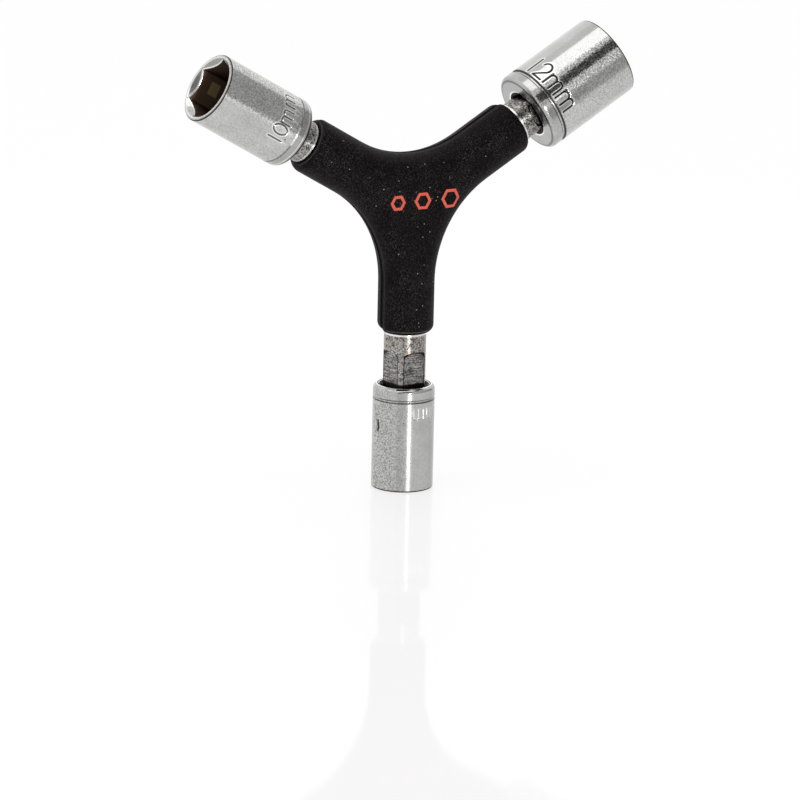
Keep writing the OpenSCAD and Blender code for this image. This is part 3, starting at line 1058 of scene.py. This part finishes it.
def add_print(index, x, z, size, material):
    """A hexagon's outline that follows the handle's face, as a closed thin band."""
    corners = [k * math.pi / 3 for k in range(7)]
    inner = size - PRINT_LINE
    section = ((size, -PRINT_SINK), (size, PRINT_THICK), (inner, PRINT_THICK), (inner, -PRINT_SINK))
    loops = []
    for radius, rise in section:
        ring = []
        for a, b in zip(corners[:-1], corners[1:]):
            for s in np.arange(PRINT_STEPS) / PRINT_STEPS:
                px = x + radius * ((1 - s) * math.cos(a) + s * math.cos(b))
                pz = z + radius * ((1 - s) * math.sin(a) + s * math.sin(b))
                height = float(handle_surface(px, pz))
                ring.append((HUB[0] + px, -(SEAM_GAP / 2 + height + rise), HUB[2] + pz))
        loops.append(ring)
    faces = grid_faces(len(loops), len(loops[0]), wrap_rows=True, wrap_columns=True)
    piece = add_piece(f"handle_print_{index}", np.concatenate(loops), faces, material)
    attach(piece, "wrench")


# Studio, in metres

MIDDLE = Vector((0.0, 0.0, 0.075))
LEVEL = Vector((1.0, 0.0, 0.0))
RIGHT_ARM = Vector(mouth_of("right")[1])
WHITE = (1.0, 1.0, 1.0, 1.0)
FLOOR_SIZE = 6.0
FLOOR_GLOW = 0.872
FLOOR_SHADE = (0.2, 0.2, 0.2, 1.0)
FLOOR_BOUNCE = (0.85, 0.85, 0.85, 1.0)
FLOOR_GLOSS = ({"roughness": 0.05, "share": 0.09}, {"roughness": 0.5, "share": 0.1})
WORLD_FILL = 0.55
WORLD_SEEN = 1.0
WALL_FOOT = 0.0005
SIDE_WALL_TOPS = ((6, 12), (14, 15), (25, 23), (40, 38), (60, 46), (80, 48), (100, 48))
BACK_WALL_TOPS = [(azimuth, 50) for azimuth in range(108, 253, 18)]


def bare_material(name):
    """Material without a shader, with its tree and the input that the shader goes into."""
    material = bpy.data.materials.new(name)
    material.use_nodes = True
    tree = material.node_tree
    tree.nodes.clear()
    out = tree.nodes.new("ShaderNodeOutputMaterial")
    return material, tree, out.inputs["Surface"]


def seen_directly(tree):
    """1 for rays from the camera or off a glossy surface, 0 for all others."""
    rays = tree.nodes.new("ShaderNodeLightPath")
    either = tree.nodes.new("ShaderNodeMath")
    either.operation = "MAXIMUM"
    tree.links.new(rays.outputs["Is Camera Ray"], either.inputs[0])
    tree.links.new(rays.outputs["Is Glossy Ray"], either.inputs[1])
    return either.outputs["Value"]


def add_floor():
    """White floor that is faintly glossy where it is seen and plain where it only bounces light."""
    corners = [(-1, -1), (1, -1), (1, 1), (-1, 1)]
    mesh = bpy.data.meshes.new("floor")
    mesh.from_pydata([(i * FLOOR_SIZE, j * FLOOR_SIZE, 0) for i, j in corners], [], [(0, 1, 2, 3)])
    floor = add_object("floor", mesh)
    material, tree, surface = bare_material("white_floor")
    glow = tree.nodes.new("ShaderNodeEmission")
    glow.inputs["Strength"].default_value = FLOOR_GLOW
    shade = tree.nodes.new("ShaderNodeBsdfDiffuse")
    shade.inputs["Color"].default_value = FLOOR_SHADE
    seen = tree.nodes.new("ShaderNodeAddShader")
    tree.links.new(glow.outputs[0], seen.inputs[0])
    tree.links.new(shade.outputs[0], seen.inputs[1])
    for layer in FLOOR_GLOSS:
        gloss = tree.nodes.new("ShaderNodeBsdfGlossy")
        gloss.inputs["Roughness"].default_value = layer["roughness"]
        glossed = tree.nodes.new("ShaderNodeMixShader")
        glossed.inputs["Fac"].default_value = layer["share"]
        tree.links.new(seen.outputs[0], glossed.inputs[1])
        tree.links.new(gloss.outputs[0], glossed.inputs[2])
        seen = glossed
    bounce = tree.nodes.new("ShaderNodeBsdfDiffuse")
    bounce.inputs["Color"].default_value = FLOOR_BOUNCE
    pick = tree.nodes.new("ShaderNodeMixShader")
    tree.links.new(seen_directly(tree), pick.inputs["Fac"])
    tree.links.new(bounce.outputs[0], pick.inputs[1])
    tree.links.new(seen.outputs[0], pick.inputs[2])
    tree.links.new(pick.outputs[0], surface)
    mesh.materials.append(material)


def set_world():
    """White surroundings, dimmer as a light than where they are seen."""
    world = bpy.data.worlds.new("studio")
    bpy.context.scene.world = world
    world.use_nodes = True
    tree = world.node_tree
    back = tree.nodes["Background"]
    back.inputs["Color"].default_value = WHITE
    level = tree.nodes.new("ShaderNodeMapRange")
    level.inputs["To Min"].default_value = WORLD_FILL
    level.inputs["To Max"].default_value = WORLD_SEEN
    tree.links.new(seen_directly(tree), level.inputs["Value"])
    tree.links.new(level.outputs["Result"], back.inputs["Strength"])


def toward(azimuth, elevation):
    """Direction from the tool, in degrees to the right of the front and above the floor."""
    a = math.radians(azimuth)
    e = math.radians(elevation)
    return Vector((math.sin(a) * math.cos(e), -math.cos(a) * math.cos(e), math.sin(e)))


def facing_tool(back, distance, long_side):
    """Place of a lamp or card that looks at the tool, its width along a given direction."""
    x = (long_side - long_side.dot(back) * back).normalized()
    y = back.cross(x)
    place = Matrix((x, y, back)).transposed().to_4x4()
    place.translation = MIDDLE + back * distance
    return place


def add_lamp(name, back, distance, long_side, width, height, power):
    data = bpy.data.lights.new(name, "AREA")
    data.shape = "RECTANGLE"
    data.size = width
    data.size_y = height
    data.energy = power
    lamp = add_object(name, data)
    lamp.matrix_world = facing_tool(back, distance, long_side)


def add_panel(name, points, faces, grey):
    """Evenly lit studio panel that only shows in reflections."""
    mesh = bpy.data.meshes.new(name)
    mesh.from_pydata(points, [], faces)
    panel = add_object(name, mesh)
    panel.visible_camera = False
    panel.visible_diffuse = False
    panel.visible_shadow = False
    material, tree, surface = bare_material(name)
    glow = tree.nodes.new("ShaderNodeEmission")
    glow.inputs["Color"].default_value = (grey, grey, grey, 1.0)
    tree.links.new(glow.outputs[0], surface)
    mesh.materials.append(material)


def add_card(name, back, distance, long_side, width, height, grey):
    place = facing_tool(back, distance, long_side)
    corners = [(-1, -1), (1, -1), (1, 1), (-1, 1)]
    points = [place @ Vector((i * width / 2, j * height / 2, 0.0)) for i, j in corners]
    add_panel(name, points, [(0, 1, 2, 3)], grey)


def add_wall(name, distance, foot, tops, grey):
    """Upright panel round the tool, with its top's elevation at each azimuth."""
    foot_height = max(WALL_FOOT, MIDDLE.z + distance * math.tan(math.radians(foot)))
    points = []
    for azimuth, top in tops:
        across = toward(azimuth, 0.0) * distance
        points.append((across.x, across.y, foot_height))
        points.append((across.x, across.y, MIDDLE.z + distance * math.tan(math.radians(top))))
    faces = [(2 * i, 2 * i + 2, 2 * i + 3, 2 * i + 1) for i in range(len(tops) - 1)]
    add_panel(name, points, faces, grey)


# Put together

for arm in ARMS:
    look = SOCKETS[arm]
    chrome = satin_chrome("satin_chrome_" + arm, mouth_of(arm)[1], look["mark_colour"], look["polish"])
    add_socket(arm, chrome)

# Both shells are the same black plastic; the rear one is painted twice as light
add_handle("handle_front", -1, black_moulding("black_front", painted_lightness=1.0))
add_handle("handle_rear", 1, black_moulding("black_rear_painted_lighter", painted_lightness=2.0))
red = red_print("red_print")
for index, (x, z, size) in enumerate(PRINT_MARKS, 1):
    add_print(index, x, z, size, red)

weld = dark_weld("weld_steel")
ball = polished_steel("ball_steel", bright=(0.62, 0.62, 0.61), worn=(0.5, 0.49, 0.48))
wire = polished_steel("wire_steel", bright=(0.4, 0.4, 0.39), worn=(0.28, 0.27, 0.26))
upper_end, lower_end = handle_reaches("handle_front")
for arm in ARMS:
    mouth, axis = mouth_of(arm)
    socket_rear = np.linalg.norm(mouth - HUB) - SOCKET_LENGTH
    steel = drawn_steel(
        "bar_steel_" + arm, ARM_TURNS[arm], axis,
        handle_end=lower_end if arm == "lower" else upper_end,
        entry_shade_from=socket_rear + BARS[arm]["entry_shade"],
        tint=BARS[arm]["tint"],
    )
    finish_node("bar_" + arm, steel)
    finish_node("detent_ball_" + arm, ball)
    add_spring(arm, wire)
for crotch in ("upper", "left", "right"):
    finish_node("weld_" + crotch, weld)

add_floor()
set_world()
add_lamp("top_softbox", toward(-75, 77), 2.0, RIGHT_ARM, width=2.4, height=1.32, power=10.4)
add_lamp("strip_softbox", toward(-7.5, 3), 0.9, LEVEL, width=0.07, height=0.12, power=2.2)
add_card("dark_card", toward(-3.5, 42), 1.2, RIGHT_ARM, width=1.8, height=0.52, grey=0.1)
add_card("camera_card", toward(-46, 6), 1.3, LEVEL, width=0.35, height=0.9, grey=0.4)
add_wall("side_wall", 0.31, foot=-13.6, tops=SIDE_WALL_TOPS, grey=0.52)
add_wall("back_wall", 1.0, foot=4.0, tops=BACK_WALL_TOPS, grey=1.15)
add_camera()
bpy.context.scene.view_settings.view_transform = "Standard"
